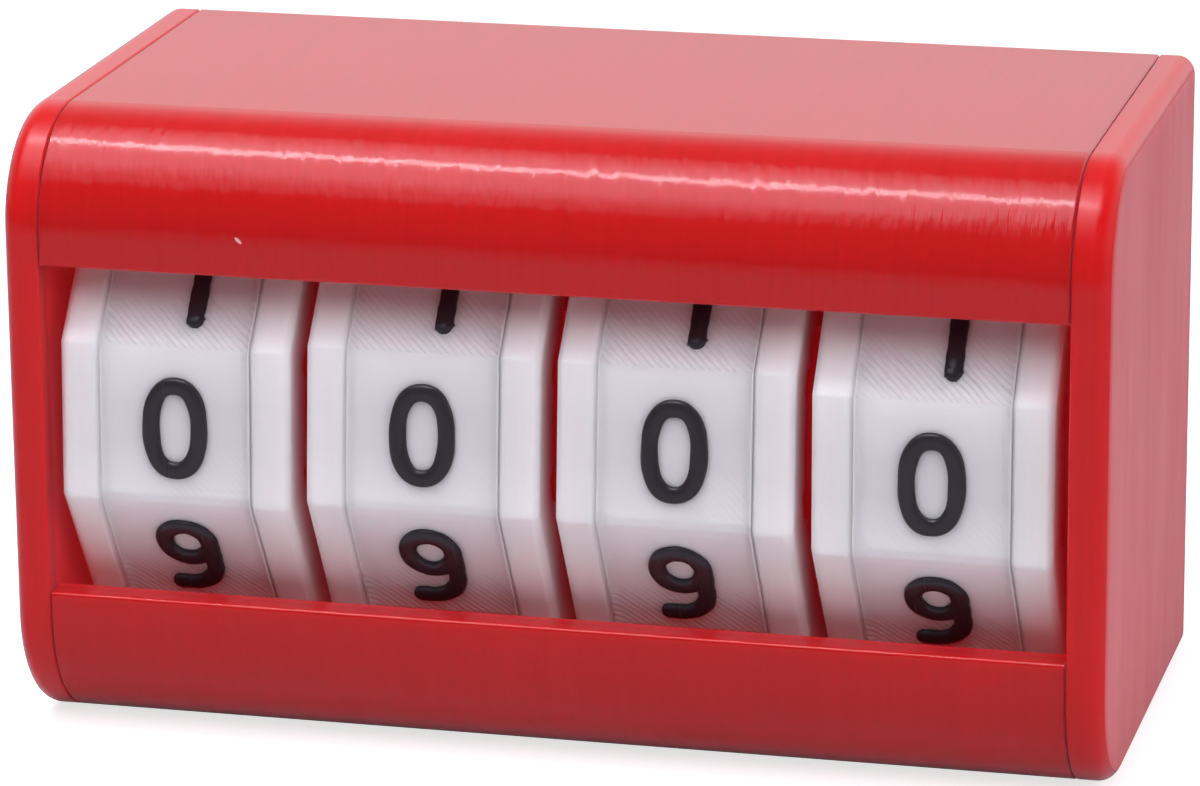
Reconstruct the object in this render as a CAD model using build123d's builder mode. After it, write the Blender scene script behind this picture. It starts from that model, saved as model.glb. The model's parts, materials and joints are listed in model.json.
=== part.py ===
from build123d import *
import os
from math import cos, radians, sin, tan

# Four-digit score counter. A red case, closed by an end cap at each side, carries a fixed axle with
# two flats. Four ten-sided number wheels turn on it, each with a band of ten number faces round it,
# and each held at its number by a two-armed click spring that is keyed on the axle inside the wheel.
# Millimetres. X runs along the axle, -Y is the front with the window, and +Z is up. The origin is
# in the middle of the underside.

# Number wheels
wheel_count = 4
number_count = 10
wheel_across_flats = 40.0
wheel_width = 19.3
flange_width = 3.45
flange_edge = 0.5
drum_wall = 2.9
web_thickness = 2.4
hub_radius = 7.0

# Number bands, each a strip of ten faces folded round its wheel between the flanges
band_recess = 0.45
band_thickness = 1.2
band_side_clearance = 0.05
band_seat_clearance = 0.05
band_fold = 0.45
band_seam = 0.25

# Clicks: notches inside each wheel, and the noses of its spring
notch_floor_width = 1.8
notch_side_slope = 48.0
notch_depth = 0.9
notch_end_margin = 1.0
nose_radius = 1.0
nose_clearance = 0.25
nose_neck_width = 1.5
arm_thickness = 1.2
arm_inset = 2.6
arm_sweep = 120.0
arm_count = 2
spoke_width = 2.6
spring_thickness = 3.6
spring_hub_radius = 6.6

# How the wheels stand: the clicks turn every number up towards the eye by number_tilt, and each
# wheel was left a little off its click, within the play of its notches
number_tilt = 3.3
wheel_plays = (-0.2, 1.9, 1.9, -1.9)

# Axle and the spacers keyed on it
axle_diameter = 8.0
axle_flats = 6.4
axle_end_chamfer = 0.4
running_clearance = 0.05
key_clearance = 0.05
spacer_thickness = 1.1
spacer_radius = 7.0
axial_clearance = 0.15

# Case
case_wall = 2.5
back_wall = 2.0
front_setback = 0.6
back_clearance = 0.4
floor_clearance = 2.6
top_clearance = 2.0
lip_height = 12.5
window_height = 27.5
front_top_radius = 9.0
front_bottom_radius = 10.2
back_top_radius = 0.6
back_bottom_radius = 1.6
inner_corner_radius = 0.5
window_edge = 0.35

# End caps
cap_thickness = 3.1
cap_edge_radius = 1.5
cap_gap = 0.1
seam_edge = 0.12
tongue_length = 5.0
tongue_thickness = 2.4
tongue_clearance = 0.1
tongue_wheel_clearance = 0.8
tongue_setback = 1.5
socket_depth = 2.0
socket_end_clearance = 0.1

# Places that follow from the sizes above
half_side = 180 / number_count
wheel_apothem = wheel_across_flats / 2
wheel_reach = wheel_apothem / cos(radians(half_side))
wheel_gap = spacer_thickness + 2 * axial_clearance
wheel_pitch = wheel_width + wheel_gap
stack_half = (wheel_pitch * (wheel_count - 1) + wheel_width) / 2
cap_face = stack_half + axial_clearance + spacer_thickness
case_depth = front_setback + wheel_apothem + wheel_reach + back_clearance + back_wall
case_height = case_wall + floor_clearance + 2 * wheel_reach + top_clearance + case_wall
axle_y = -case_depth / 2 + front_setback + wheel_apothem
axle_z = case_wall + floor_clearance + wheel_reach
band_apothem = wheel_apothem - band_recess
core_apothem = band_apothem - band_thickness - band_seat_clearance
cavity_radius = core_apothem - drum_wall
nose_reach = cavity_radius + notch_depth - nose_clearance
axle_radius = axle_diameter / 2


def wheel_left(index):
    """X of the left face of a wheel, counted from 0 at the left."""
    return -stack_half + index * wheel_pitch


def turned_plane(x, turn_up):
    """A plane across the axle at x, with the front of its pattern turned up by turn_up degrees."""
    turn = radians(-turn_up)
    return Plane(origin=(x, axle_y, axle_z), x_dir=(0, cos(turn), sin(turn)), z_dir=(1, 0, 0))


def flatted_circle(radius, across):
    """The axle's section, a circle with two flats, or the hole that fits it."""
    with BuildSketch(mode=Mode.PRIVATE) as section:
        Circle(radius)
        Rectangle(2 * radius, across, mode=Mode.INTERSECT)
    return section.sketch


def ten_sided(apothem):
    """The outline of a wheel or band of that size across its half, with a flat side to the front."""
    with BuildSketch(mode=Mode.PRIVATE) as outline:
        RegularPolygon(apothem, number_count, major_radius=False, rotation=half_side)
    return outline.sketch


def case_outline(front_inset, back_inset):
    """The case's section, or its inside where the insets are the walls."""
    front, back = -case_depth / 2 + front_inset, case_depth / 2 - back_inset
    bottom, top = front_inset, case_height - front_inset
    corners = (
        (front, bottom, front_bottom_radius - front_inset),
        (front, top, front_top_radius - front_inset),
        (back, bottom, back_bottom_radius - back_inset),
        (back, top, back_top_radius - back_inset),
    )
    with BuildSketch(mode=Mode.PRIVATE) as outline:
        with Locations(((front + back) / 2, (bottom + top) / 2)):
            Rectangle(back - front, top - bottom)
        for y, z, radius in corners:
            corner = outline.vertices().sort_by_distance((y, z))[0]
            fillet(corner, max(radius, inner_corner_radius))
    return outline.sketch


def end_cap(name, side):
    """An end cap: side is -1 at the left and 1 at the right."""
    inner_face = Plane.YZ.offset(side * cap_face)
    with BuildPart() as cap:
        with BuildSketch(inner_face):
            add(case_outline(0, 0))
        extrude(amount=side * cap_thickness)
        outer_face = cap.faces().sort_by(Axis.X)[-1 if side > 0 else 0]
        fillet(outer_face.edges(), min(cap_edge_radius, cap_thickness - inner_corner_radius))
        rim_face = cap.faces().sort_by(Axis.X)[0 if side > 0 else -1]
        chamfer(rim_face.edges(), seam_edge)
        # Tongues that locate the cap in the corners of the case, clear of the wheels
        with BuildSketch(inner_face):
            add(case_outline(case_wall + tongue_clearance, back_wall + tongue_clearance))
            add(case_outline(case_wall + tongue_clearance + tongue_thickness,
                             back_wall + tongue_clearance + tongue_thickness), mode=Mode.SUBTRACT)
            with Locations((axle_y, axle_z)):
                Circle(wheel_reach + tongue_wheel_clearance, mode=Mode.SUBTRACT)
            with Locations((-case_depth / 2, lip_height + window_height / 2)):
                Rectangle(wheel_apothem, window_height + 2 * tongue_setback, mode=Mode.SUBTRACT)
        extrude(amount=-side * tongue_length)
        # Blind socket for the end of the axle
        with BuildSketch(turned_plane(side * cap_face, number_tilt)):
            add(flatted_circle(axle_radius + key_clearance, axle_flats + 2 * key_clearance))
        extrude(amount=side * (socket_depth + socket_end_clearance), mode=Mode.SUBTRACT)
    cap.part.label = name
    return cap.part


def spacer(name, left):
    """A thin washer keyed on the axle, which keeps one wheel from dragging the next."""
    with BuildPart() as washer:
        with BuildSketch(turned_plane(left, number_tilt)):
            Circle(spacer_radius)
            add(flatted_circle(axle_radius + key_clearance, axle_flats + 2 * key_clearance),
                mode=Mode.SUBTRACT)
        extrude(amount=spacer_thickness)
    washer.part.label = name
    return washer.part


def number_wheel(name, left, turn_up):
    """A ten-sided drum with two flanges, a web, a hub and ten click notches in its open end."""
    right = left + wheel_width
    with BuildPart() as wheel:
        with BuildSketch(turned_plane(left, turn_up)):
            add(ten_sided(wheel_apothem))
        extrude(amount=wheel_width)
        chamfer(wheel.faces().filter_by(Axis.X).edges(), flange_edge)
        # Channel for the number band
        with BuildSketch(turned_plane(left + flange_width, turn_up)):
            add(ten_sided(2 * wheel_apothem))
            add(ten_sided(core_apothem), mode=Mode.SUBTRACT)
        extrude(amount=wheel_width - 2 * flange_width, mode=Mode.SUBTRACT)
        channel_edges = wheel.edges(Select.LAST).filter_by(Axis.X, reverse=True)
        chamfer(channel_edges.group_by(SortBy.LENGTH)[-1], flange_edge)
        # Cavity, open to the right, with the hub left standing in it
        with BuildSketch(turned_plane(left + web_thickness, turn_up)):
            Circle(cavity_radius)
            Circle(hub_radius, mode=Mode.SUBTRACT)
        extrude(amount=wheel_width, mode=Mode.SUBTRACT)
        with BuildSketch(turned_plane(right - spring_thickness, turn_up)):
            Circle(cavity_radius)
        extrude(amount=wheel_width, mode=Mode.SUBTRACT)
        with BuildSketch(turned_plane(left, turn_up)):
            Circle(axle_radius + running_clearance)
        extrude(amount=wheel_width, mode=Mode.SUBTRACT)
        # Click notches, one under each corner, where the wall is thickest
        notch_mouth = notch_floor_width + 4 * notch_depth / tan(radians(notch_side_slope))
        with BuildSketch(turned_plane(right, turn_up)):
            with PolarLocations(cavity_radius, number_count, start_angle=half_side):
                Trapezoid(notch_mouth, 2 * notch_depth, notch_side_slope, rotation=-90)
        extrude(amount=-(spring_thickness - axial_clearance + notch_end_margin),
                mode=Mode.SUBTRACT)
    wheel.part.label = name
    return wheel.part


def number_band(name, left, turn_up):
    """The folded strip that carries the numbers, with its seam at a corner at the back."""
    width = wheel_width - 2 * flange_width - 2 * band_side_clearance
    with BuildPart() as band:
        with BuildSketch(turned_plane(left + flange_width + band_side_clearance, turn_up)):
            add(ten_sided(band_apothem))
        extrude(amount=width)
        chamfer(band.edges().filter_by(Axis.X), band_fold)
        with BuildSketch(turned_plane(left, turn_up)):
            add(ten_sided(band_apothem - band_thickness))
        extrude(amount=wheel_width, mode=Mode.SUBTRACT)
        with BuildSketch(turned_plane(left, turn_up)):
            with PolarLocations(band_apothem, 1, start_angle=half_side):
                Rectangle(4 * band_thickness, band_seam)
        extrude(amount=wheel_width, mode=Mode.SUBTRACT)
    band.part.label = name
    return band.part


def click_spring(name, right):
    """A flat keyed ring with two curved arms, whose noses lie in the notches of the wheel."""
    arm_radius = cavity_radius - arm_inset
    nose_centre = nose_reach - nose_radius
    hub_end = right + axial_clearance
    nose_angles = [90 + arm * 360 / arm_count for arm in range(arm_count)]
    arm_lines = [CenterArc((0, 0), arm_radius, angle - arm_sweep, arm_sweep)
                 for angle in nose_angles]
    with BuildPart() as spring:
        with BuildSketch(turned_plane(hub_end - spring_thickness, number_tilt)):
            Circle(spring_hub_radius)
            for nose_angle, arm_line in zip(nose_angles, arm_lines):
                SlotArc(arm_line, arm_thickness)
                with PolarLocations((arm_radius + spring_hub_radius) / 2, 1,
                                    start_angle=nose_angle - arm_sweep):
                    Rectangle(arm_radius - spring_hub_radius + arm_thickness, spoke_width)
                with PolarLocations((arm_radius + nose_centre) / 2, 1, start_angle=nose_angle):
                    Rectangle(nose_centre - arm_radius, nose_neck_width)
                with PolarLocations(nose_centre, 1, start_angle=nose_angle):
                    Circle(nose_radius)
            add(flatted_circle(axle_radius + key_clearance, axle_flats + 2 * key_clearance),
                mode=Mode.SUBTRACT)
        extrude(amount=spring_thickness)
    spring.part.label = name
    return spring.part


# Case: one wall round the wheels, open at both ends and along the window
with BuildPart() as case_shell:
    case_left = Plane.YZ.offset(-cap_face + cap_gap)
    case_length = 2 * (cap_face - cap_gap)
    with BuildSketch(case_left):
        add(case_outline(0, 0))
        add(case_outline(case_wall, back_wall), mode=Mode.SUBTRACT)
    extrude(amount=case_length)
    for end_face in case_shell.faces().filter_by(Axis.X):
        chamfer(end_face.outer_wire().edges(), seam_edge)
    with BuildSketch(case_left):
        with Locations((-case_depth / 2, lip_height + window_height / 2)):
            Rectangle(wheel_apothem, window_height)
    extrude(amount=case_length, mode=Mode.SUBTRACT)
    fillet(case_shell.edges(Select.LAST).filter_by(Axis.X).group_by(Axis.Y)[0], window_edge)
case_shell.part.label = "case_shell"

# Axle: a round bar with two flats, held in the sockets of both caps
with BuildPart() as axle:
    axle_half = cap_face + socket_depth
    with BuildSketch(turned_plane(-axle_half, number_tilt)):
        add(flatted_circle(axle_radius, axle_flats))
    extrude(amount=2 * axle_half)
    chamfer(axle.faces().filter_by(Axis.X).edges(), axle_end_chamfer)
axle.part.label = "axle"

pieces = [case_shell.part, axle.part, end_cap("left_end_cap", -1), end_cap("right_end_cap", 1)]
for index in range(wheel_count):
    number = index + 1
    left = wheel_left(index)
    turn_up = number_tilt + wheel_plays[index % len(wheel_plays)]
    pieces.append(spacer(f"spacer_{number}", left - axial_clearance - spacer_thickness))
    pieces.append(number_wheel(f"number_wheel_{number}", left, turn_up))
    pieces.append(number_band(f"number_band_{number}", left, turn_up))
    pieces.append(click_spring(f"click_spring_{number}", left + wheel_width))
pieces.append(spacer(f"spacer_{wheel_count + 1}", stack_half + axial_clearance))

os.makedirs("parts", exist_ok=True)
for piece in pieces:
    export_step(piece, f"parts/{piece.label}.step")
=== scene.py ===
import json
import logging
from collections.abc import Sequence
from dataclasses import dataclass, field, replace
from enum import Enum
from functools import cached_property

import bpy
import numpy as np
from mathutils import Matrix, Vector


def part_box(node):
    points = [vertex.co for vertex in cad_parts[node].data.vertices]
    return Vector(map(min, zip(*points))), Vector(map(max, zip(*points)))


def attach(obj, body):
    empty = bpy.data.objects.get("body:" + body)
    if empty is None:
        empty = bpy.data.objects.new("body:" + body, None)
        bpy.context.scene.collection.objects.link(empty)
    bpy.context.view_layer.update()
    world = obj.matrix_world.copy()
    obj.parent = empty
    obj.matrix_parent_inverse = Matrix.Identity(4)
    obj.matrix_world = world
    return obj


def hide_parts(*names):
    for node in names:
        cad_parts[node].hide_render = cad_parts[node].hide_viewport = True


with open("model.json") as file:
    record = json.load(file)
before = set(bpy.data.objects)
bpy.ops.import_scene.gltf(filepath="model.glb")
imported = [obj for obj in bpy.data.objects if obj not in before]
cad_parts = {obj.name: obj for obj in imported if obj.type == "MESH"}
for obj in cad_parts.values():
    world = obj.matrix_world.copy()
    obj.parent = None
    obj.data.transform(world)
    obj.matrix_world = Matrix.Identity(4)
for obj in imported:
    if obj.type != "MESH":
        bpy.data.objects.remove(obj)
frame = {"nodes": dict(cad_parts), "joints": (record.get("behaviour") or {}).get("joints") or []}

# Looks of a hand-turned score counter: a red printed case with two end caps, and four ten-sided white
# number wheels behind its window. The solids come from the frame. This file dresses them, adds the
# raised numerals and the small marks of printing, and sets the light and the camera.
# Sizes are in millimetres where a name has no unit, and meshes and shaders are in metres.

MM = 0.001
WHEEL_COUNT = 4
FACE_COUNT = 10
FACE_ANGLE = 2 * np.pi / FACE_COUNT

logger = logging.getLogger("score_counter")

Pair = tuple[float, float]
Triple = tuple[float, float, float]
Socket = bpy.types.NodeSocket
Sockets = bpy.types.bpy_prop_collection
Value = float | Sequence[float] | Socket


class Body(Enum):
    """The bodies of the frame that the new pieces ride on."""

    CASE = "case"
    WHEEL = "wheel_"


class Slot(Enum):
    """Names of the record's material slots for the new pieces, which this script doesn't give them."""

    CASE = "case"
    BAND = "band"
    NUMERALS = "numerals"


# Surfaces


def ring_quads(rings: int, around: int, closed: bool) -> np.ndarray:
    """The four-sided faces between rings of points that are numbered ring by ring.

    Args:
        rings: Number of rings.
        around: Number of points in a ring.
        closed: Whether the last ring joins the first.

    Returns:
        One line of four point numbers for each face.
    """
    ring, point = np.meshgrid(np.arange(rings if closed else rings - 1), np.arange(around), indexing="ij")
    next_ring, next_point = (ring + 1) % rings, (point + 1) % around
    corners = (
        ring * around + point,
        ring * around + next_point,
        next_ring * around + next_point,
        next_ring * around + point,
    )
    return np.stack(corners, axis=-1).reshape(-1, 4)


def squared(turned: np.ndarray, squareness: float) -> np.ndarray:
    """Cosines or sines raised to 2 / squareness, with their sign kept, which squares a round shape."""
    return np.sign(turned) * np.abs(turned) ** (2 / squareness)


@dataclass
class Shells:
    """Closed shells gathered for one mesh."""

    points: list[np.ndarray] = field(default_factory=list)
    faces: list[list[int]] = field(default_factory=list)
    count: int = 0

    def add_tube(self, rings: np.ndarray, poles: np.ndarray | None = None) -> None:
        """Adds a tube, given ring by ring, which joins its own start unless it ends in two poles.

        Args:
            rings: Points of every ring, as rings by points by three.
            poles: The end points before the first ring and after the last.
        """
        ring_count, ring_size = rings.shape[:2]
        total = ring_count * ring_size
        self.faces.extend((ring_quads(ring_count, ring_size, poles is None) + self.count).tolist())
        self.points.append(rings.reshape(-1, 3))
        if poles is not None:
            around = np.arange(ring_size)
            after = (around + 1) % ring_size
            last = total - ring_size
            start = np.stack((around, np.full(ring_size, total), after), axis=-1)
            end = np.stack((last + after, np.full(ring_size, total + 1), last + around), axis=-1)
            self.faces.extend((np.concatenate((start, end)) + self.count).tolist())
            self.points.append(poles)
            total += len(poles)
        self.count += total

    def make_object(self, name: str, material: bpy.types.Material) -> bpy.types.Object:
        """Makes the shells one smooth object.

        Args:
            name: Name of the object and its mesh.
            material: The finish it gets.

        Returns:
            The new object, linked to the scene.
        """
        mesh = bpy.data.meshes.new(name)
        mesh.from_pydata(np.concatenate(self.points).tolist(), [], self.faces)
        mesh.polygons.foreach_set("use_smooth", np.ones(len(mesh.polygons), dtype=bool))
        mesh.materials.append(material)
        mesh.validate()
        mesh.update()
        piece = bpy.data.objects.new(name, mesh)
        bpy.context.scene.collection.objects.link(piece)
        return piece


# Strokes of the numerals

ARC_POINTS = 121
LINE_POINTS = 41
FEWEST_STEPS = 4
SAME_POINT = 1e-6


@dataclass(frozen=True)
class Arc:
    """Part of a rounded ring about a centre, from one angle to another, in degrees from the right."""

    centre: Pair
    radii: Pair
    start: float
    end: float
    squareness: float = 2.0

    def points(self) -> np.ndarray:
        """The centre plus each half size times the squared cosine or sine."""
        angle = np.radians(np.linspace(self.start, self.end, ARC_POINTS))
        turned = np.stack((np.cos(angle), np.sin(angle)), axis=-1)
        return np.array(self.centre) + np.array(self.radii) * squared(turned, self.squareness)


@dataclass(frozen=True)
class Line:
    """A straight run between two points."""

    start: Pair
    end: Pair

    def points(self) -> np.ndarray:
        """Points evenly from the start to the end."""
        share = np.linspace(0.0, 1.0, LINE_POINTS)[:, None]
        return (1 - share) * np.array(self.start) + share * np.array(self.end)


@dataclass(frozen=True)
class Stroke:
    """One pull of the nozzle: runs that follow on one another, and whether they close on themselves."""

    runs: tuple[Arc | Line, ...]
    closed: bool = False

    def path(self, step: float) -> np.ndarray:
        """The stroke's middle line at even steps.

        Args:
            step: Distance between points.

        Returns:
            Points in the plane of the number face, without the repeated last point if closed.
        """
        rough = np.concatenate([run.points() for run in self.runs])
        lengths = np.linalg.norm(np.diff(rough, axis=0), axis=1)
        rough = rough[np.concatenate(([True], lengths > SAME_POINT))]
        along = np.concatenate(([0.0], np.cumsum(np.linalg.norm(np.diff(rough, axis=0), axis=1))))
        count = max(int(along[-1] / step), FEWEST_STEPS)
        even = np.linspace(0.0, along[-1], count + 1)
        line = np.stack([np.interp(even, along, rough[:, axis]) for axis in (0, 1)], axis=-1)
        return line[:-1] if self.closed else line

    def turned_over(self) -> "Stroke":
        """The same stroke upside down."""
        flipped: list[Arc | Line] = []
        for run in self.runs:
            if isinstance(run, Arc):
                centre = (-run.centre[0], -run.centre[1])
                flipped.append(Arc(centre, run.radii, run.start + 180, run.end + 180, run.squareness))
            else:
                flipped.append(Line((-run.start[0], -run.start[1]), (-run.end[0], -run.end[1])))
        return Stroke(tuple(flipped), self.closed)


@dataclass(frozen=True)
class NumeralStyle:
    """Sizes of the numerals: the box of their middle lines, and the raised bead that draws them."""

    width: float = 4.05
    height: float = 7.0
    bead_widths: tuple[float, ...] = (1.42, 1.48, 1.42, 1.42, 1.4, 1.42, 1.52, 1.4, 1.42, 1.52)
    bead_rise: float = 0.5
    bead_squareness: float = 2.9
    bead_points: int = 24
    cap_rings: int = 7
    step: float = 0.16
    waver: float = 0.03
    drop: float = 0.36
    shifts: tuple[float, ...] = (-0.05, 0.0, 0.0, 0.0, 0.0, 0.0, 0.1, 0.0, 0.0, -0.1)

    def strokes(self) -> list[tuple[Stroke, ...]]:
        """The strokes of the numerals from 0 to 9, about the middle of each."""
        a, b = self.width / 2, self.height / 2
        bowl, side, tail, stem = 1.93, 1.88, 2.3, 1.3
        small = 0.86 * a
        waist = 0.05
        upper, upper_radius = (0, (b + waist) / 2), (small, (b - waist) / 2)
        lower, lower_radius = (0, (waist - b) / 2), (a, (b + waist) / 2)
        nine = (
            Stroke((Arc((0, b - bowl), (side, bowl), 0, 360),), closed=True),
            Stroke((
                Line((side, b - bowl), (side, tail - b)),
                Arc((side - tail, tail - b), (tail, tail), 0, -90),
                Line((side - tail, -b), (-1.4, -b)),
            )),
        )
        return [
            (
                Stroke((Arc((0, 0), (a, b), 90, 450, squareness=2.35),), closed=True),
            ),
            (
                Stroke((Line((stem, -b), (stem, b)),)),
                Stroke((Line((stem, b), (stem - 1.5, b - 1.4)),)),
                Stroke((Arc((stem, 0.1 - b), (0.14, 0.14), 0, 360),), closed=True),
            ),
            (
                Stroke((Arc((0, b - a), (a, a), 165, -35), Line((0.82 * a, b - 1.57 * a), (-a, -b)))),
                Stroke((Line((-a, -b), (a, -b)),)),
            ),
            (
                Stroke((Arc(upper, upper_radius, 150, -90),)),
                Stroke((Arc(lower, lower_radius, 90, -150),)),
            ),
            (
                Stroke((Line((0.45 * a, -b), (0.45 * a, b)),)),
                Stroke((Line((0.45 * a, b), (-a, -1.35)),)),
                Stroke((Line((-a, -1.35), (a, -1.35)),)),
            ),
            (
                Stroke((Line((0.78 * a, b), (-0.72 * a, b)),)),
                Stroke((Line((-0.72 * a, b), (-0.86 * a, 0.3)),)),
                Stroke((Arc((-0.1, 2.2 - b), (a + 0.05, 2.2), 138, -145),)),
            ),
            tuple(stroke.turned_over() for stroke in nine),
            (Stroke((Line((-a, b), (a, b)),)), Stroke((Line((a, b), (-0.32 * a, -b)),))),
            (
                Stroke((Arc(upper, upper_radius, 0, 360),), closed=True),
                Stroke((Arc(lower, lower_radius, 0, 360),), closed=True),
            ),
            nine,
        ]

    def bead(
        self, line: np.ndarray, closed: bool, width: float, phase: float
    ) -> tuple[np.ndarray, np.ndarray | None]:
        """A raised bead of plastic along a line: a flattened ring carried along it, half of it sunk.

        Around the bead, the point at angle t lies half the width times the squared cos t across the
        line, and the rise times the squared sin t above the face. The width wavers along the line as
        two sines do. At an open end the ring shrinks as the cosine does while it moves on as the sine
        does.

        Args:
            line: Middle line, as points by two.
            closed: Whether the line closes on itself.
            width: Width of the bead.
            phase: Where the wavering starts.

        Returns:
            The rings as rings by points by (across, up, out), and the two poles of an open bead.
        """
        half = width / 2
        if closed:
            ahead = np.roll(line, -1, axis=0) - np.roll(line, 1, axis=0)
            scale = np.ones(len(line))
            centre = line
        else:
            ahead = np.gradient(line, axis=0)
            ahead = ahead / np.linalg.norm(ahead, axis=1)[:, None]
            angle = np.linspace(0, np.pi / 2, self.cap_rings + 1)[1:-1]
            head = line[-1] + half * np.sin(angle)[:, None] * ahead[-1]
            tail = line[0] - half * np.sin(angle[::-1])[:, None] * ahead[0]
            centre = np.concatenate((tail, line, head))
            scale = np.concatenate((np.cos(angle[::-1]), np.ones(len(line)), np.cos(angle)))
            at_tail = np.repeat(ahead[:1], len(angle), axis=0)
            at_head = np.repeat(ahead[-1:], len(angle), axis=0)
            ahead = np.concatenate((at_tail, ahead, at_head))
        ahead = ahead / np.linalg.norm(ahead, axis=1)[:, None]
        across = np.stack((-ahead[:, 1], ahead[:, 0]), axis=-1)
        turns = np.arange(len(centre)) / len(centre) * 2 * np.pi
        waver = 1 + self.waver * (np.sin(3 * turns + phase) + 0.6 * np.sin(7 * turns + 2.3 * phase))
        around = np.linspace(0, 2 * np.pi, self.bead_points, endpoint=False)
        side = squared(np.cos(around), self.bead_squareness)
        rise = squared(np.sin(around), self.bead_squareness)
        offset = (half * scale * waver)[:, None] * side[None, :]
        flat = centre[:, None, :] + offset[:, :, None] * across[:, None, :]
        height = (self.bead_rise * np.sqrt(scale))[:, None] * rise[None, :]
        rings = np.concatenate((flat, height[:, :, None]), axis=-1)
        if closed:
            return rings, None
        tips = np.stack((line[0] - half * ahead[0], line[-1] + half * ahead[-1]))
        return rings, np.concatenate((tips, np.zeros((2, 1))), axis=-1)


# Node writing


class NodeWriter:
    """Adds nodes to a tree and joins them."""

    def __init__(self, tree: bpy.types.NodeTree) -> None:
        """Keeps the tree that the nodes go into."""
        self.tree = tree

    @cached_property
    def position(self) -> Socket:
        """Object coordinates."""
        return self.add("TexCoord").outputs["Object"]

    @classmethod
    def afresh(cls, owner: bpy.types.Material | bpy.types.World) -> "NodeWriter":
        """A writer for the owner's own tree, emptied first."""
        owner.use_nodes = True
        owner.node_tree.nodes.clear()
        return cls(owner.node_tree)

    def feed(self, socket: Socket, value: Value) -> None:
        """Links a socket to another, or sets its value."""
        if isinstance(value, Socket):
            self.tree.links.new(value, socket)
        else:
            socket.default_value = value

    def add(
        self, kind: str, inputs: dict[str | int, Value] | None = None, **settings: object
    ) -> bpy.types.Node:
        """Adds a node.

        Args:
            kind: Blender's type name of the node, without ShaderNode.
            inputs: What goes into its sockets, by name or number.
            settings: The node's own properties.

        Returns:
            The new node.
        """
        node = self.tree.nodes.new(f"ShaderNode{kind}")
        for name, setting in settings.items():
            setattr(node, name, setting)
        for key, value in (inputs or {}).items():
            self.feed(node.inputs[key], value)
        return node

    def math(self, operation: str, *values: Value) -> Socket:
        """The result of a Math node on one to three values."""
        return self.add("Math", dict(enumerate(values)), operation=operation).outputs[0]

    def vector(self, operation: str, *values: Value) -> Socket:
        """The result of a Vector Math node, which is a value for a length or a dot product."""
        node = self.add("VectorMath", dict(enumerate(values)), operation=operation)
        return node.outputs["Value" if operation in ("LENGTH", "DOT_PRODUCT") else "Vector"]

    def scaled(self, colour: Value, share: Value) -> Socket:
        """A colour times a value."""
        return self.add("VectorMath", {0: colour, "Scale": share}, operation="SCALE").outputs[0]

    def parts(self, vector: Value) -> Sockets:
        """The X, Y and Z of a vector."""
        return self.add("SeparateXYZ", {0: vector}).outputs

    def mix(self, share: Value, first: Value, second: Value) -> Socket:
        """A colour between two, from the first at 0 to the second at 1."""
        return self.add("Mix", {0: share, 6: first, 7: second}, data_type="RGBA").outputs[2]

    def remap(
        self, value: Value, low: float, high: float, to_low: Value = 0.0, to_high: Value = 1.0
    ) -> Socket:
        """A value carried from one range to another, clamped."""
        inputs = dict(enumerate((value, low, high, to_low, to_high)))
        return self.add("MapRange", inputs).outputs[0]

    def noise(self, vector: Value, scale: Value, detail: float = 2.0, roughness: float = 0.5) -> Socket:
        """Even noise from 0 to 1 at a scale in repeats a metre."""
        inputs = {"Vector": vector, "Scale": scale, "Detail": detail, "Roughness": roughness}
        return self.add("TexNoise", inputs).outputs["Fac"]

    def chance(self, number: Value) -> Socket:
        """An even random value from 0 to 1 for each whole number."""
        return self.add("TexWhiteNoise", {"W": number}, noise_dimensions="1D").outputs["Value"]

    def ridges(self, lines: Value, exponent: float) -> Socket:
        """1 - |2 f - 1|^exponent, for the part f of a value past its whole number."""
        inside = self.math("MULTIPLY_ADD", self.math("FRACT", lines), 2.0, -1.0)
        return self.math("SUBTRACT", 1.0, self.math("POWER", self.math("ABSOLUTE", inside), exponent))


FLOAT = "NodeSocketFloat"
VECTOR = "NodeSocketVector"
COLOUR = "NodeSocketColor"


class NodeGroup:
    """A shader node group that is built once and placed in each material with its own values."""

    name: str
    inputs: dict[str, str]
    outputs: dict[str, str]

    def build(self, writer: NodeWriter, inputs: Sockets) -> dict[str, Value]:
        """Writes what is inside the group after its input sockets, and gives what goes to each output."""
        raise NotImplementedError

    def tree(self) -> bpy.types.NodeTree:
        """The group's tree, which is made at the first call."""
        tree = bpy.data.node_groups.get(self.name)
        if tree is None:
            tree = bpy.data.node_groups.new(self.name, "ShaderNodeTree")
            for way, sockets in (("INPUT", self.inputs), ("OUTPUT", self.outputs)):
                for name, kind in sockets.items():
                    tree.interface.new_socket(name=name, in_out=way, socket_type=kind)
            entry, leave = tree.nodes.new("NodeGroupInput"), tree.nodes.new("NodeGroupOutput")
            writer = NodeWriter(tree)
            for name, value in self.build(writer, entry.outputs).items():
                writer.feed(leave.inputs[name], value)
        return tree

    def place(self, writer: NodeWriter, inputs: dict[str, Value]) -> Sockets:
        """Puts the group into a material.

        Args:
            writer: Writer of the material's tree.
            inputs: Values or links for its named inputs. The position is the writer's if none is given.

        Returns:
            The group's outputs.
        """
        if "Position" not in inputs:
            inputs = {"Position": writer.position, **inputs}
        return writer.add("Group", inputs, node_tree=self.tree()).outputs


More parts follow.
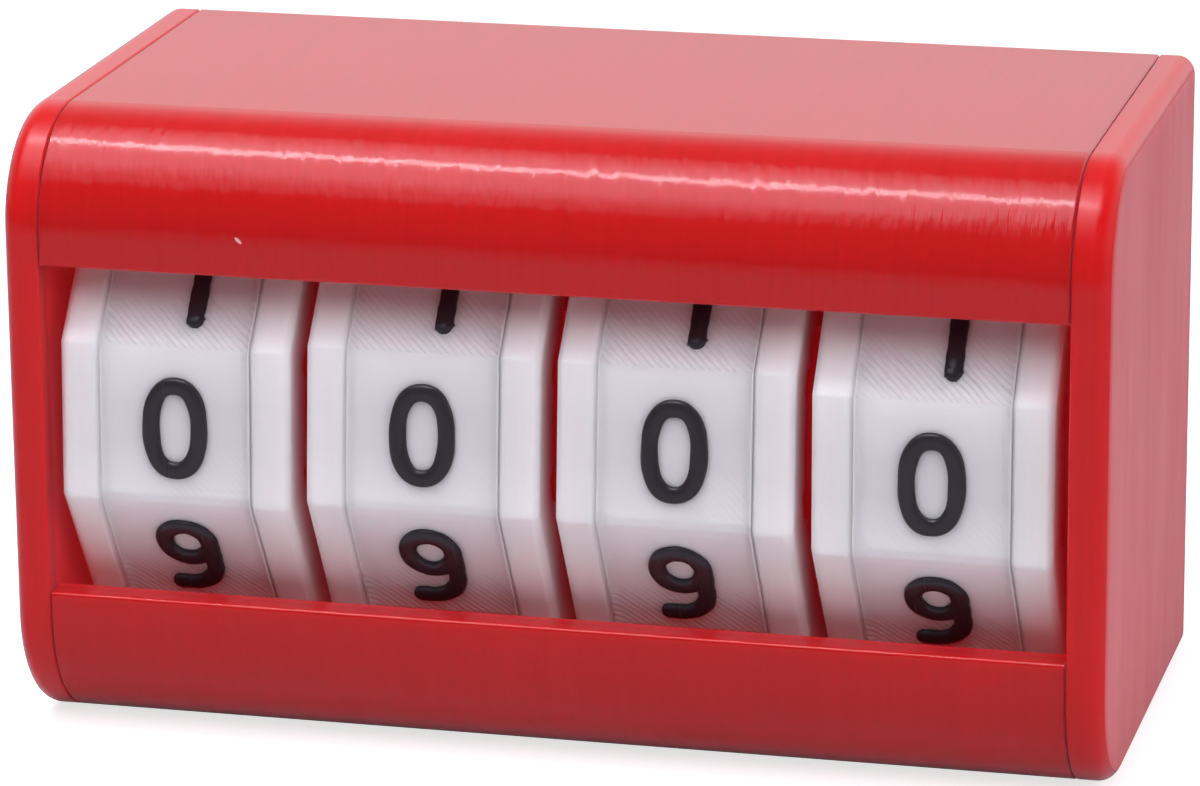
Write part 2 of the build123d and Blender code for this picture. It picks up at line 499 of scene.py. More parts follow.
class PrintLayers(NodeGroup):
    """Layers laid one on another along X: a rounded ridge each, a tone for each, and a slow waver."""

    name = "print_layers"
    inputs = {"Position": VECTOR, "Layer Height": FLOAT}
    outputs = {"Height": FLOAT, "Tone": FLOAT, "Streaks": FLOAT}
    waver = 0.4
    waver_scale = 90.0
    streak_scales = (1400.0, 45.0, 45.0)

    def build(self, writer: NodeWriter, inputs: Sockets) -> dict[str, Value]:
        """Height is a ridge for each layer, Tone is even noise by the layer's number, and Streaks is
        noise stretched along the layers."""
        slow = writer.noise(inputs["Position"], self.waver_scale, detail=3.0)
        waver = writer.math("MULTIPLY", slow, self.waver)
        along = writer.parts(inputs["Position"])["X"]
        layers = writer.math("ADD", writer.math("DIVIDE", along, inputs["Layer Height"]), waver)
        stretched = writer.vector("MULTIPLY", inputs["Position"], self.streak_scales)
        return {
            "Height": writer.ridges(layers, 2.0),
            "Tone": writer.chance(writer.math("FLOOR", layers)),
            "Streaks": writer.noise(stretched, 1.0, detail=3.0, roughness=0.6),
        }


class FineGrain(NodeGroup):
    """The small unevenness of moulded or printed plastic."""

    name = "fine_grain"
    inputs = {"Position": VECTOR, "Scale": FLOAT}
    outputs = {"Height": FLOAT}

    def build(self, writer: NodeWriter, inputs: Sockets) -> dict[str, Value]:
        """Height is even noise at the scale."""
        return {"Height": writer.noise(inputs["Position"], inputs["Scale"], detail=3.0)}


class ColourDrift(NodeGroup):
    """A colour that wanders slowly between two."""

    name = "colour_drift"
    inputs = {"Position": VECTOR, "Colour": COLOUR, "Drift Colour": COLOUR, "Scale": FLOAT}
    outputs = {"Colour": COLOUR}
    noise_range = (0.3, 0.7)

    def build(self, writer: NodeWriter, inputs: Sockets) -> dict[str, Value]:
        """Even noise in the noise range, stretched to 0 to 1, mixes the two colours."""
        mask = writer.remap(writer.noise(inputs["Position"], inputs["Scale"], detail=4.0), *self.noise_range)
        return {"Colour": writer.mix(mask, inputs["Colour"], inputs["Drift Colour"])}


class TenSided(NodeGroup):
    """Where a point lies on a ten-sided drum that turns about X."""

    name = "ten_sided"
    inputs = {"Position": VECTOR, "Centre": VECTOR, "Turn": FLOAT}
    outputs = {"Face": FLOAT, "Across": FLOAT, "Up": FLOAT, "Out": FLOAT}

    def build(self, writer: NodeWriter, inputs: Sockets) -> dict[str, Value]:
        """Around the axle, the face number is the angle over 36 degrees, rounded. The height up the face
        is the radius times the sine of what is left, and the distance out is its cosine's share."""
        parts = writer.parts(writer.vector("SUBTRACT", inputs["Position"], inputs["Centre"]))
        front = writer.math("MULTIPLY", parts["Y"], -1.0)
        angle = writer.math("SUBTRACT", writer.math("ARCTAN2", parts["Z"], front), inputs["Turn"])
        face = writer.math("ROUND", writer.math("DIVIDE", angle, FACE_ANGLE))
        rest = writer.math("SUBTRACT", angle, writer.math("MULTIPLY", face, FACE_ANGLE))
        flat = writer.add("CombineXYZ", {0: parts["Y"], 1: parts["Z"]}).outputs[0]
        radius = writer.vector("LENGTH", flat)
        return {
            "Face": face,
            "Across": parts["X"],
            "Up": writer.math("MULTIPLY", radius, writer.math("SINE", rest)),
            "Out": writer.math("MULTIPLY", radius, writer.math("COSINE", rest)),
        }


class SlantingLines(NodeGroup):
    """Lines at 45 degrees on each flat face of a ten-sided band, which fade up the face and are faint
    on the face of the 0, and fine waves beside each fold."""

    name = "slanting_lines"
    inputs = {"Position": VECTOR, "Centre": VECTOR, "Turn": FLOAT, "Pitch": FLOAT}
    outputs = {"Height": FLOAT, "Fold Lines": FLOAT}
    waver_scale = 500.0
    waver = 0.35
    exponent = 2.5
    lines_apart = 57.0
    weakest_line = 0.55
    share_on_zero = 0.1
    fade_from = -3.6
    fade_to = -0.6
    faded = 0.05
    fold_wave = 0.85
    fold_start = 4.6
    fold_end = 5.4

    def build(self, writer: NodeWriter, inputs: Sockets) -> dict[str, Value]:
        """Height is a ridge for each line, times the line's own strength, the face's share and the
        fading up the face. Fold Lines waves as the cosine of the way from the face's middle, and rises
        from nothing close to the fold."""
        place = TenSided().place(writer, {
            "Position": inputs["Position"], "Centre": inputs["Centre"], "Turn": inputs["Turn"],
        })
        slanted = writer.math("MULTIPLY", writer.math("ADD", place["Across"], place["Up"]), np.sqrt(0.5))
        waver = writer.math("MULTIPLY", writer.noise(inputs["Position"], self.waver_scale), self.waver)
        lines = writer.math("ADD", writer.math("DIVIDE", slanted, inputs["Pitch"]), waver)
        by_face = writer.math("MULTIPLY", place["Face"], self.lines_apart)
        chance = writer.chance(writer.math("ADD", writer.math("FLOOR", lines), by_face))
        strength = writer.remap(chance, 0.0, 1.0, self.weakest_line, 1.0)
        uneven = writer.math("MULTIPLY", writer.ridges(lines, self.exponent), strength)
        on_zero = writer.math("COMPARE", place["Face"], 0.0, 0.5)
        uneven = writer.math("MULTIPLY", uneven, writer.remap(on_zero, 0.0, 1.0, 1.0, self.share_on_zero))
        fading = writer.remap(place["Up"], self.fade_from * MM, self.fade_to * MM, 1.0, self.faded)
        aside = writer.math("ABSOLUTE", place["Up"])
        wave = writer.math("COSINE", writer.math("MULTIPLY", aside, 2 * np.pi / (self.fold_wave * MM)))
        near = writer.remap(aside, self.fold_start * MM, self.fold_end * MM)
        return {
            "Height": writer.math("MULTIPLY", uneven, fading),
            "Fold Lines": writer.math("MULTIPLY", wave, near),
        }


class InsideShell(NodeGroup):
    """Which surfaces lie inside a rounded box, such as the inner faces of a case."""

    name = "inside_shell"
    inputs = {
        "Position": VECTOR, "Middle": VECTOR, "Core": VECTOR, "Depth": FLOAT, "Half Length": FLOAT,
    }
    outputs = {"Mask": FLOAT}
    softness = 0.2

    def build(self, writer: NodeWriter, inputs: Sockets) -> dict[str, Value]:
        """Mask is 1 where the way from the core box, in Y and Z, is less than the depth, and the way
        from the middle, in X, is less than the half length."""
        away = writer.vector("SUBTRACT", inputs["Position"], inputs["Middle"])
        apart = writer.vector("ABSOLUTE", away)
        beyond = writer.vector("SUBTRACT", apart, inputs["Core"])
        way = writer.vector("LENGTH", writer.vector("MAXIMUM", beyond, (0.0, 0.0, 0.0)))
        soft = self.softness * MM
        within = writer.remap(writer.math("SUBTRACT", inputs["Depth"], way), 0.0, soft)
        left = writer.math("SUBTRACT", inputs["Half Length"], writer.parts(apart)["X"])
        return {"Mask": writer.math("MULTIPLY", within, writer.remap(left, 0.0, soft))}


# Finishes

BLACK = (0.0, 0.0, 0.0, 1.0)
WHITE = (1.0, 1.0, 1.0, 1.0)
LILAC = (0.8, 0.85, 1.0, 1.0)


@dataclass(frozen=True)
class PrintedPlastic:
    """Satin printed plastic, in layers along X."""

    name: str
    colour: Triple
    drift_colour: Triple
    roughness: float = 0.38
    roughness_spread: float = 0.06
    specular: float = 0.22
    layer_height: float = 0.2
    layer_depth: float = 0.004
    tone_share: float = 0.6
    grain_depth: float = 0.003
    grain_scale: float = 2500.0
    drift_scale: float = 60.0
    streak_range: Pair = (0.25, 0.75)
    streak_strength: float = 0.05
    sheen: float = 0.0
    sheen_roughness: float = 0.3
    wave_depth: float = 0.0
    wave_end: float = -17.0
    wave_fading: float = 2.0
    wave_scales: Triple = (1300.0, 500.0, 500.0)
    depth_weight: float = 0.0
    depth_radius: Triple = (1.0, 1.0, 1.0)
    depth_reach: float = 1.0
    painted_glow: Triple = (0.0, 0.0, 0.0)
    edge_softness: float = 0.0
    edge_samples: int = 4

    def write_height(self, writer: NodeWriter) -> tuple[Socket, Socket]:
        """The relief of the surface in millimetres: layers that are uneven by the tone's share, grain, and
        slow waves in front of wave_end.

        Args:
            writer: Writer of the material's tree.

        Returns:
            The height, and streaks from 0 to 1 that vary the tone.
        """
        layers = PrintLayers().place(writer, {"Layer Height": self.layer_height * MM})
        grain = FineGrain().place(writer, {"Scale": self.grain_scale})
        ridges = writer.math("MULTIPLY", layers["Height"], self.layer_depth)
        tones = writer.math("MULTIPLY_ADD", layers["Tone"], self.tone_share * self.layer_depth, ridges)
        height = writer.math("MULTIPLY_ADD", grain["Height"], self.grain_depth, tones)
        stretched = writer.vector("MULTIPLY", writer.position, self.wave_scales)
        waves = writer.noise(stretched, 1.0, detail=1.0)
        start, end = self.wave_end * MM, (self.wave_end + self.wave_fading) * MM
        share = writer.remap(writer.parts(writer.position)["Y"], start, end, self.wave_depth, 0.0)
        return writer.math("MULTIPLY_ADD", waves, share, height), layers["Streaks"]

    def write_colour(self, writer: NodeWriter, streaks: Value) -> Socket:
        """The colour, which drifts slowly and is streaked along the layers."""
        drift = ColourDrift().place(writer, {
            "Colour": (*self.colour, 1.0),
            "Drift Colour": (*self.drift_colour, 1.0),
            "Scale": self.drift_scale,
        })
        low, high = 1.0 - self.streak_strength, 1.0 + self.streak_strength
        return writer.scaled(drift["Colour"], writer.remap(streaks, *self.streak_range, low, high))

    def write_roughness(self, writer: NodeWriter, streaks: Value) -> Socket:
        """The roughness, which varies with the streaks."""
        low, high = self.roughness - self.roughness_spread, self.roughness + self.roughness_spread
        return writer.remap(streaks, *self.streak_range, low, high)

    def write_painted_glow(self, writer: NodeWriter) -> Value:
        """The painted glow that stands for light coming through the plastic from behind, the same all over.
        """
        return (*self.painted_glow, 1.0)

    def material(self) -> bpy.types.Material:
        """The material, which is made at the first call."""
        material = bpy.data.materials.get(self.name)
        if material is None:
            material = bpy.data.materials.new(self.name)
            writer = NodeWriter.afresh(material)
            height, streaks = self.write_height(writer)
            bump = writer.add("Bump", {"Height": height, "Distance": MM, "Strength": 1.0})
            if self.edge_softness:
                soft = writer.add("Bevel", {"Radius": self.edge_softness * MM}, samples=self.edge_samples)
                writer.feed(bump.inputs["Normal"], soft.outputs[0])
            plastic = writer.add("BsdfPrincipled", {
                "Base Color": self.write_colour(writer, streaks),
                "Roughness": self.write_roughness(writer, streaks),
                "Normal": bump.outputs[0],
                "Specular IOR Level": self.specular,
                "Sheen Weight": self.sheen,
                "Sheen Roughness": self.sheen_roughness,
                "Sheen Tint": LILAC,
                "Subsurface Weight": self.depth_weight,
                "Subsurface Radius": self.depth_radius,
                "Subsurface Scale": self.depth_reach * MM,
                # The emission is a painted glow, not a lamp.
                "Emission Color": self.write_painted_glow(writer),
                "Emission Strength": 1.0,
            })
            writer.add("OutputMaterial", {"Surface": plastic.outputs[0]})
        return material


@dataclass(frozen=True)
class ShellPlastic(PrintedPlastic):
    """Printed plastic of the thin walls, whose inner faces get a faint painted glow that stands for light
    coming through them.
    """

    depth_weight: float = 0.5
    depth_radius: Triple = (1.0, 0.06, 0.06)
    depth_reach: float = 3.0
    painted_glow: Triple = (0.11, 0.003, 0.003)
    middle: Triple = (0.0, 0.0, 25.83)
    core: Triple = (100.0, 13.0, 16.8)
    wall_depth: float = 7.3
    half_length: float = 42.3

    def write_painted_glow(self, writer: NodeWriter) -> Value:
        """The painted glow on the inner faces alone."""
        inner = InsideShell().place(writer, {
            "Middle": [MM * part for part in self.middle],
            "Core": [MM * part for part in self.core],
            "Depth": self.wall_depth * MM,
            "Half Length": self.half_length * MM,
        })
        return writer.mix(inner["Mask"], BLACK, (*self.painted_glow, 1.0))


@dataclass(frozen=True)
class BedFacePlastic(ShellPlastic):
    """Printed plastic whose outer side lay on the print bed, with a matt, cloudy face and a first step; the
    pale pink of the clouds is partly painted sheen.
    """

    bed_plane: float = 45.0
    step_depth: float = 0.14
    step_height: float = 0.05
    step_blur: float = 0.02
    bed_share: float = 0.3
    cloud_and_sheen_colour: Triple = (0.78, 0.16, 0.15)
    cloud_scales: Triple = (1.0, 210.0, 34.0)
    cloud_range: Pair = (0.3, 0.75)
    cloud_shares: Pair = (0.35, 0.85)
    cloud_roughness: float = 0.58

    def beyond(self, writer: NodeWriter, setback: float, value: float) -> Socket:
        """A value outside the bed plane less the setback, and 0 further in."""
        out = writer.math("ABSOLUTE", writer.parts(writer.position)["X"])
        edge = self.bed_plane - setback
        return writer.remap(out, (edge - self.step_blur) * MM, (edge + self.step_blur) * MM, 0.0, value)

    def bed_mask(self, writer: NodeWriter) -> Socket:
        """1 on the flat outer face, as deep as its share of the step, and 0 elsewhere."""
        return self.beyond(writer, self.bed_share * self.step_depth, 1.0)

    def write_height(self, writer: NodeWriter) -> tuple[Socket, Socket]:
        """The relief of the layers, with a step where the first layer ends."""
        height, streaks = super().write_height(writer)
        ledge = self.beyond(writer, self.step_depth, self.step_height)
        return writer.math("ADD", height, ledge), streaks

    def write_colour(self, writer: NodeWriter, streaks: Value) -> Socket:
        """The colour, clouded on the flat face with a pale pink that is partly the face's blotchy texture
        and partly painted sheen.
        """
        plain = super().write_colour(writer, streaks)
        stretched = writer.vector("MULTIPLY", writer.position, self.cloud_scales)
        noise = writer.noise(stretched, 1.0, detail=3.0, roughness=0.55)
        clouds_and_sheen = writer.remap(noise, *self.cloud_range, *self.cloud_shares)
        share = writer.math("MULTIPLY", clouds_and_sheen, self.bed_mask(writer))
        return writer.mix(share, plain, (*self.cloud_and_sheen_colour, 1.0))

    def write_roughness(self, writer: NodeWriter, streaks: Value) -> Socket:
        """The roughness, higher on the flat face."""
        plain = super().write_roughness(writer, streaks)
        more = writer.math("MULTIPLY", self.bed_mask(writer), self.cloud_roughness - self.roughness)
        return writer.math("ADD", plain, more)


@dataclass(frozen=True)
class DrumPlastic(PrintedPlastic):
    """White printed plastic of a ten-sided drum, with painted light that makes it lighter towards its folds.
    """

    depth_weight: float = 1.0
    depth_reach: float = 2.0
    centre: Triple = (0.0, 0.0, 0.0)
    turn: float = 0.0
    fold_reach: Pair = (2.0, 6.0)
    painted_fold_light: float = 1.07

    def where(self, writer: NodeWriter) -> Sockets:
        """Where the position lies on the drum."""
        return TenSided().place(writer, {"Centre": self.centre, "Turn": self.turn})

    def write_colour(self, writer: NodeWriter, streaks: Value) -> Socket:
        """The colour, with painted light that makes it lighter the further up or down its face from the
        face's middle.
        """
        plain = super().write_colour(writer, streaks)
        aside = writer.math("ABSOLUTE", self.where(writer)["Up"])
        start, end = self.fold_reach
        return writer.scaled(plain, writer.remap(aside, start * MM, end * MM, 1.0, self.painted_fold_light))


@dataclass(frozen=True)
class WheelPlastic(DrumPlastic):
    """Plastic of the wheels, with painted red bounce light on their sides away from the rim."""

    rim: float = 20.0
    painted_bounce_start: float = 0.9
    painted_bounce_reach: float = 5.0
    painted_bounce: Triple = (0.55, 0.14, 0.18)

    def write_painted_bounce(self, writer: NodeWriter) -> Socket:
        """0 at the rim and 1 deeper than the reach of the painted red bounce light."""
        deep, shallow = self.rim - self.painted_bounce_reach, self.rim - self.painted_bounce_start
        return writer.remap(self.where(writer)["Out"], deep * MM, shallow * MM, 1.0, 0.0)

    def write_colour(self, writer: NodeWriter, streaks: Value) -> Socket:
        """The colour, mixed with the painted red bounce light."""
        plain = super().write_colour(writer, streaks)
        return writer.mix(self.write_painted_bounce(writer), plain, (*self.painted_bounce, 1.0))

    def write_painted_glow(self, writer: NodeWriter) -> Value:
        """The painted glow, as deep as the painted red bounce light."""
        return writer.mix(self.write_painted_bounce(writer), BLACK, (*self.painted_glow, 1.0))


@dataclass(frozen=True)
class BandPlastic(DrumPlastic):
    """Plastic of the folded strip with the number faces, with slanting lines on each."""

    line_pitch: float = 0.48
    line_depth: float = 0.12
    fold_line_depth: float = 0.008

    def write_height(self, writer: NodeWriter) -> tuple[Socket, Socket]:
        """The relief of the slanting lines and the waves beside the folds, and the grain."""
        lines = SlantingLines().place(writer, {
            "Centre": self.centre, "Turn": self.turn, "Pitch": self.line_pitch * MM,
        })
        grain = FineGrain().place(writer, {"Scale": self.grain_scale})
        ridges = writer.math("MULTIPLY", lines["Height"], self.line_depth)
        folds = writer.math("MULTIPLY_ADD", lines["Fold Lines"], self.fold_line_depth, ridges)
        return writer.math("MULTIPLY_ADD", grain["Height"], self.grain_depth, folds), grain["Height"]


CAP_RED = (0.62, 0.006, 0.007)
CAP_RED_DRIFT = (0.6, 0.005, 0.006)
# The case and caps carry ShellPlastic's painted red glow on their inner faces.
CASE_PLASTIC = ShellPlastic(
    "red_case_plastic", (0.54, 0.004, 0.005), (0.52, 0.003, 0.004), roughness=0.14, roughness_spread=0.03,
    specular=0.34, sheen=0.36, grain_depth=0.0012, layer_depth=0.003, wave_depth=0.06,
)
CAP_PLASTIC = BedFacePlastic(
    "red_cap_plastic", CAP_RED, CAP_RED_DRIFT, roughness=0.22, roughness_spread=0.05, specular=0.3,
    sheen=0.4,
)
# The speck's pale colour is a painted highlight.
HIGHLIGHT_SPECK_PLASTIC = PrintedPlastic(
    "painted_highlight_speck_plastic", (0.85, 0.45, 0.42), (0.8, 0.4, 0.38), roughness=0.3, layer_depth=0.0,
)
# The axle, spacers and springs carry a painted red glow that stands for light coming through the thin red
# walls.
INNER_PLASTIC = PrintedPlastic(
    "red_inner_plastic", CAP_RED, CAP_RED_DRIFT, roughness=0.4, specular=0.3, painted_glow=(0.09, 0.002, 0.003),
)
WHEEL_PLASTIC = WheelPlastic(
    "white_wheel_plastic", (0.84, 0.79, 0.78), (0.82, 0.77, 0.76), roughness=0.45, specular=0.28,
    layer_depth=0.003, streak_strength=0.012, depth_radius=(1.0, 0.9, 0.9), painted_glow=(0.05, 0.001, 0.002),
    edge_softness=0.6,
)
BAND_PLASTIC = BandPlastic(
    "band_plastic", (0.775, 0.725, 0.74), (0.755, 0.705, 0.72), roughness=0.22, roughness_spread=0.01,
    specular=0.5, streak_strength=0.0, grain_depth=0.0003, depth_radius=(1.0, 0.9, 0.95),
    fold_reach=(1.5, 5.5), painted_fold_light=1.17,
)
NUMERAL_PLASTIC = PrintedPlastic(
    "dark_numeral_plastic", (0.02, 0.015, 0.02), (0.025, 0.019, 0.025), roughness=0.24, specular=0.32,
    layer_depth=0.0, grain_depth=0.015, grain_scale=1800.0,
)


# Sub-assemblies


def dress(nodes: Sequence[str], finish: PrintedPlastic) -> None:
    """Gives CAD nodes a finish.

    Args:
        nodes: Names of the nodes.
        finish: The finish they all get.
    """
    for name in nodes:
        frame["nodes"][name].data.materials[0] = finish.material()
        logger.info("dressed %s with %s", name, finish.name)


@dataclass
class Case:
    """The shell, its end caps and a speck of plastic left on its front, whose pale colour is a painted
    highlight.
    """

    top_radius: float = 9.0
    speck_x: float = -25.03
    speck_z: float = 43.1
    speck_width: float = 0.66
    speck_height: float = 0.3
    speck_rise: float = 0.009
    speck_slant: float = -45.0
    speck_lobes: float = 0.12
    speck_phase: float = 0.7
    speck_turns: int = 24
    speck_rings: int = 9

    def on_front(self, points: np.ndarray) -> np.ndarray:
        """Points about the speck, carried onto the rounded front of the shell.

        The surface stands back from the front plane by R - sqrt(R^2 - h^2), where h is the height above
        the start of the rounding.

        Args:
            points: Points as (across, up, out).

        Returns:
            Their places in metres.
        """
        low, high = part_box("case_shell")
        z = self.speck_z + points[..., 1]
        above = np.maximum(z - (high.z / MM - self.top_radius), 0.0)
        setback = self.top_radius - np.sqrt(self.top_radius**2 - above**2)
        y = low.y / MM + setback - points[..., 2]
        return np.stack((self.speck_x + points[..., 0], y, z), axis=-1) * MM

    def make_speck(self) -> bpy.types.Object:
        """A flat drop of plastic, half sunk in the front, coloured pale as a painted highlight.

        At latitude v and longitude u, a point lies half the width times cos v times cos u along the
        speck, half the height times cos v times sin u across it, and the rise times sin v out of the
        surface. Two lobes widen it as the sine of 2 u does, and it is slanted.

        Returns:
            The new object.
        """
        latitude = np.linspace(-np.pi / 2, np.pi / 2, self.speck_rings + 2)[1:-1, None]
        longitude = np.linspace(0, 2 * np.pi, self.speck_turns, endpoint=False)[None, :]
        lobed = 1 + self.speck_lobes * np.sin(2 * longitude + self.speck_phase)
        long = self.speck_width / 2 * np.cos(latitude) * np.cos(longitude) * lobed
        short = self.speck_height / 2 * np.cos(latitude) * np.sin(longitude) * lobed
        slant = np.radians(self.speck_slant)
        across = long * np.cos(slant) - short * np.sin(slant)
        up = long * np.sin(slant) + short * np.cos(slant)
        out = self.speck_rise * np.sin(latitude) * np.ones_like(longitude)
        poles = np.array([[0.0, 0.0, -self.speck_rise], [0.0, 0.0, self.speck_rise]])
        shells = Shells()
        shells.add_tube(self.on_front(np.stack((across, up, out), axis=-1)), self.on_front(poles))
        return shells.make_object("front_speck", HIGHLIGHT_SPECK_PLASTIC.material())

    def build(self) -> None:
        """Dresses the shell and caps and adds the speck."""
        dress(["case_shell"], CASE_PLASTIC)
        dress(["left_end_cap", "right_end_cap"], CAP_PLASTIC)
        speck = self.make_speck()
        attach(speck, Body.CASE.value)
        logger.info("speck on the case: %d faces", len(speck.data.polygons))


@dataclass
class Wheel:
    """One number wheel with its band and its ten raised numerals."""

    number: int
    style: NumeralStyle = field(default_factory=NumeralStyle)
    band_side_reach: float = 0.12
    band_depth: float = 1.2
    cove: tuple[Pair, ...] = (
        (0.0, 0.42), (0.16, 0.27), (0.34, 0.14), (0.56, 0.05), (0.85, 0.0),
    )
    fold_radius: float = 2.6
    fold_points: int = 10
    corner_reach: float = 0.1

    @property
    def centre(self) -> np.ndarray:
        """The middle of the wheel on the axle's line, from its joint and its box."""
        joint = next(j for j in frame["joints"] if j["child"] == f"{Body.WHEEL.value}{self.number}")
        low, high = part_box(f"number_band_{self.number}")
        return np.array([(low.x + high.x) / 2, joint["pos_m"][1], joint["pos_m"][2]])

    def band_points(self) -> np.ndarray:
        """The CAD band's points, from the middle of the wheel."""
        mesh = frame["nodes"][f"number_band_{self.number}"].data
        points = np.empty(len(mesh.vertices) * 3)
        mesh.vertices.foreach_get("co", points)
        return points.reshape(-1, 3) - self.centre

    def turn(self) -> float:
        """How far the front face is turned up, from the band's corners, which stand half a face away."""
        points = self.band_points()
        radius = np.hypot(points[:, 1], points[:, 2])
        corners = points[radius > radius.max() - self.corner_reach * MM]
        angle = np.arctan2(corners[:, 2], -corners[:, 1])
        around = np.exp(1j * FACE_COUNT * angle).mean() * np.exp(-1j * np.pi)
        return float(np.angle(around) / FACE_COUNT)

    def apothem(self) -> float:
        """How far the number faces are from the axle's line, in metres."""
        turn = self.turn()
        return float((self.band_points() @ np.array([0.0, -np.cos(turn), np.sin(turn)])).max())

    def make_band(self, finish: PrintedPlastic) -> bpy.types.Object:
        """The band of number faces as one closed ring, with soft folds, that meets the flanges.

        The ring's section, a flat strip with a small cove at each side, is carried round the axle. At
        each fold, a point lies the apothem less its drop and the fold radius, over the cosine of half
        a face, along the corner's direction, plus the fold radius along the turned normal. Between
        folds the faces are flat.

        Args:
            finish: What it is made of.

        Returns:
            The new object, which stands for the CAD band.
        """
        low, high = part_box(f"number_band_{self.number}")
        half = (high.x - low.x) / 2 / MM + self.band_side_reach
        middle = np.repeat(np.arange(FACE_COUNT) + 0.5, self.fold_points)[:, None]
        bend = np.tile(np.linspace(-0.5, 0.5, self.fold_points), FACE_COUNT)[:, None]
        corner = self.turn() + middle * FACE_ANGLE
        normal = corner + bend * FACE_ANGLE
        cove_in, cove_up = np.array(self.cove).T
        drop = np.concatenate(([self.band_depth, self.band_depth], -cove_up, [0.0], -cove_up[::-1]))
        across = np.concatenate(([half, -half], cove_in - half, [0.0], half - cove_in[::-1]))
        spread = (self.apothem() / MM - drop - self.fold_radius) / np.cos(FACE_ANGLE / 2)
        up = spread * np.sin(corner) + self.fold_radius * np.sin(normal)
        out = spread * np.cos(corner) + self.fold_radius * np.cos(normal)
        shells = Shells()
        shells.add_tube(np.stack((across * np.ones_like(up), -out, up), axis=-1) * MM + self.centre)
        return shells.make_object(f"number_faces_{self.number}", finish.material())

    def make_numerals(self) -> bpy.types.Object:
        """The ten raised numerals in one piece.

        A point (across, up, out) of the numeral on face k goes to the middle of the wheel, plus across
        along X, plus up along the face, plus the apothem and out along the face's normal.

        Returns:
            The new object.
        """
        turn, apothem = self.turn(), self.apothem()
        shells = Shells()
        phases = np.random.default_rng(self.number).uniform(0, 2 * np.pi, (FACE_COUNT, 4))
        for digit, strokes in enumerate(self.style.strokes()):
            angle = turn + digit * FACE_ANGLE
            right = np.array([1.0, 0.0, 0.0])
            up = np.array([0.0, np.sin(angle), np.cos(angle)])
            out = np.array([0.0, -np.cos(angle), np.sin(angle)])
            axes = np.stack((right, up, out)) * MM
            shift = right * self.style.shifts[digit] - up * self.style.drop
            base = self.centre + out * apothem + shift * MM
            for stroke, phase in zip(strokes, phases[digit]):
                line = stroke.path(self.style.step)
                rings, poles = self.style.bead(line, stroke.closed, self.style.bead_widths[digit], phase)
                shells.add_tube(base + rings @ axes, None if poles is None else base + poles @ axes)
        return shells.make_object(f"numerals_{self.number}", NUMERAL_PLASTIC.material())

    def build(self) -> None:
        """Dresses the wheel, replaces its band and adds the numerals."""
        fit = {"centre": tuple(self.centre), "turn": self.turn()}
        wheel = replace(WHEEL_PLASTIC, name=f"white_wheel_plastic_{self.number}", **fit)
        dress([f"number_wheel_{self.number}"], wheel)
        faces = self.make_band(replace(BAND_PLASTIC, name=f"band_plastic_{self.number}", **fit))
        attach(faces, f"{Body.WHEEL.value}{self.number}")
        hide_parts(f"number_band_{self.number}")
        logger.info("number faces of wheel %d: %d faces", self.number, len(faces.data.polygons))
        numerals = self.make_numerals()
        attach(numerals, f"{Body.WHEEL.value}{self.number}")
        logger.info("numerals of wheel %d: %d faces", self.number, len(numerals.data.polygons))


@dataclass
class Works:
    """The axle, spacers and click springs inside."""

    spring_count: int = WHEEL_COUNT
    spacer_count: int = WHEEL_COUNT + 1

    def build(self) -> None:
        """Dresses them all in red plastic."""
        dress(["axle"], INNER_PLASTIC)
        dress([f"spacer_{number + 1}" for number in range(self.spacer_count)], INNER_PLASTIC)
        dress([f"click_spring_{number + 1}" for number in range(self.spring_count)], INNER_PLASTIC)


# Studio


@dataclass(frozen=True)
class SoftLight:
    """A soft rectangular light that looks at the origin, in metres, and isn't mirrored."""

    name: str
    place: Triple
    size: Pair
    radiance: float


@dataclass(frozen=True)
class SoftboxBand:
    """A band of the softbox: where its rear edge lies forward of the corners' line, and its depth."""

    name: str
    rear: float
    depth: float
    radiance: float


@dataclass(frozen=True)
class Viewpoint:
    """The camera's angles in degrees, the point it looks at, its distance and its lens."""

    azimuth: float = 14.167
    elevation: float = 16.311
    roll: float = -0.5
    target: Triple = (-0.998, -0.0146, 25.709)
    distance: float = 486.204
    sensor_width: float = 36.0
    focal_length: float = 175.97
    nearest: float = 10.0

    def build(self) -> None:
        """Makes the camera, which is fitted to the photograph's edges."""
        azimuth, elevation, roll = np.radians([self.azimuth, self.elevation, self.roll])
        level = np.cos(elevation)
        back = np.array([np.sin(azimuth) * level, -np.cos(azimuth) * level, np.sin(elevation)])
        right = np.cross(-back, [0.0, 0.0, 1.0])
        right /= np.linalg.norm(right)
        up = np.cross(right, -back)
        rolled_right = right * np.cos(roll) + up * np.sin(roll)
        rolled_up = -right * np.sin(roll) + up * np.cos(roll)
        place = np.eye(4)
        place[:3, :3] = np.stack((rolled_right, rolled_up, back), axis=-1)
        place[:3, 3] = (np.array(self.target) + back * self.distance) * MM
        lens = bpy.data.cameras.new("camera")
        lens.sensor_fit = "HORIZONTAL"
        lens.sensor_width = self.sensor_width
        lens.lens = self.focal_length
        lens.clip_start = self.nearest * MM
        camera = bpy.data.objects.new("camera", lens)
        camera.matrix_world = Matrix(place.tolist())
        bpy.context.scene.collection.objects.link(camera)
        bpy.context.scene.camera = camera


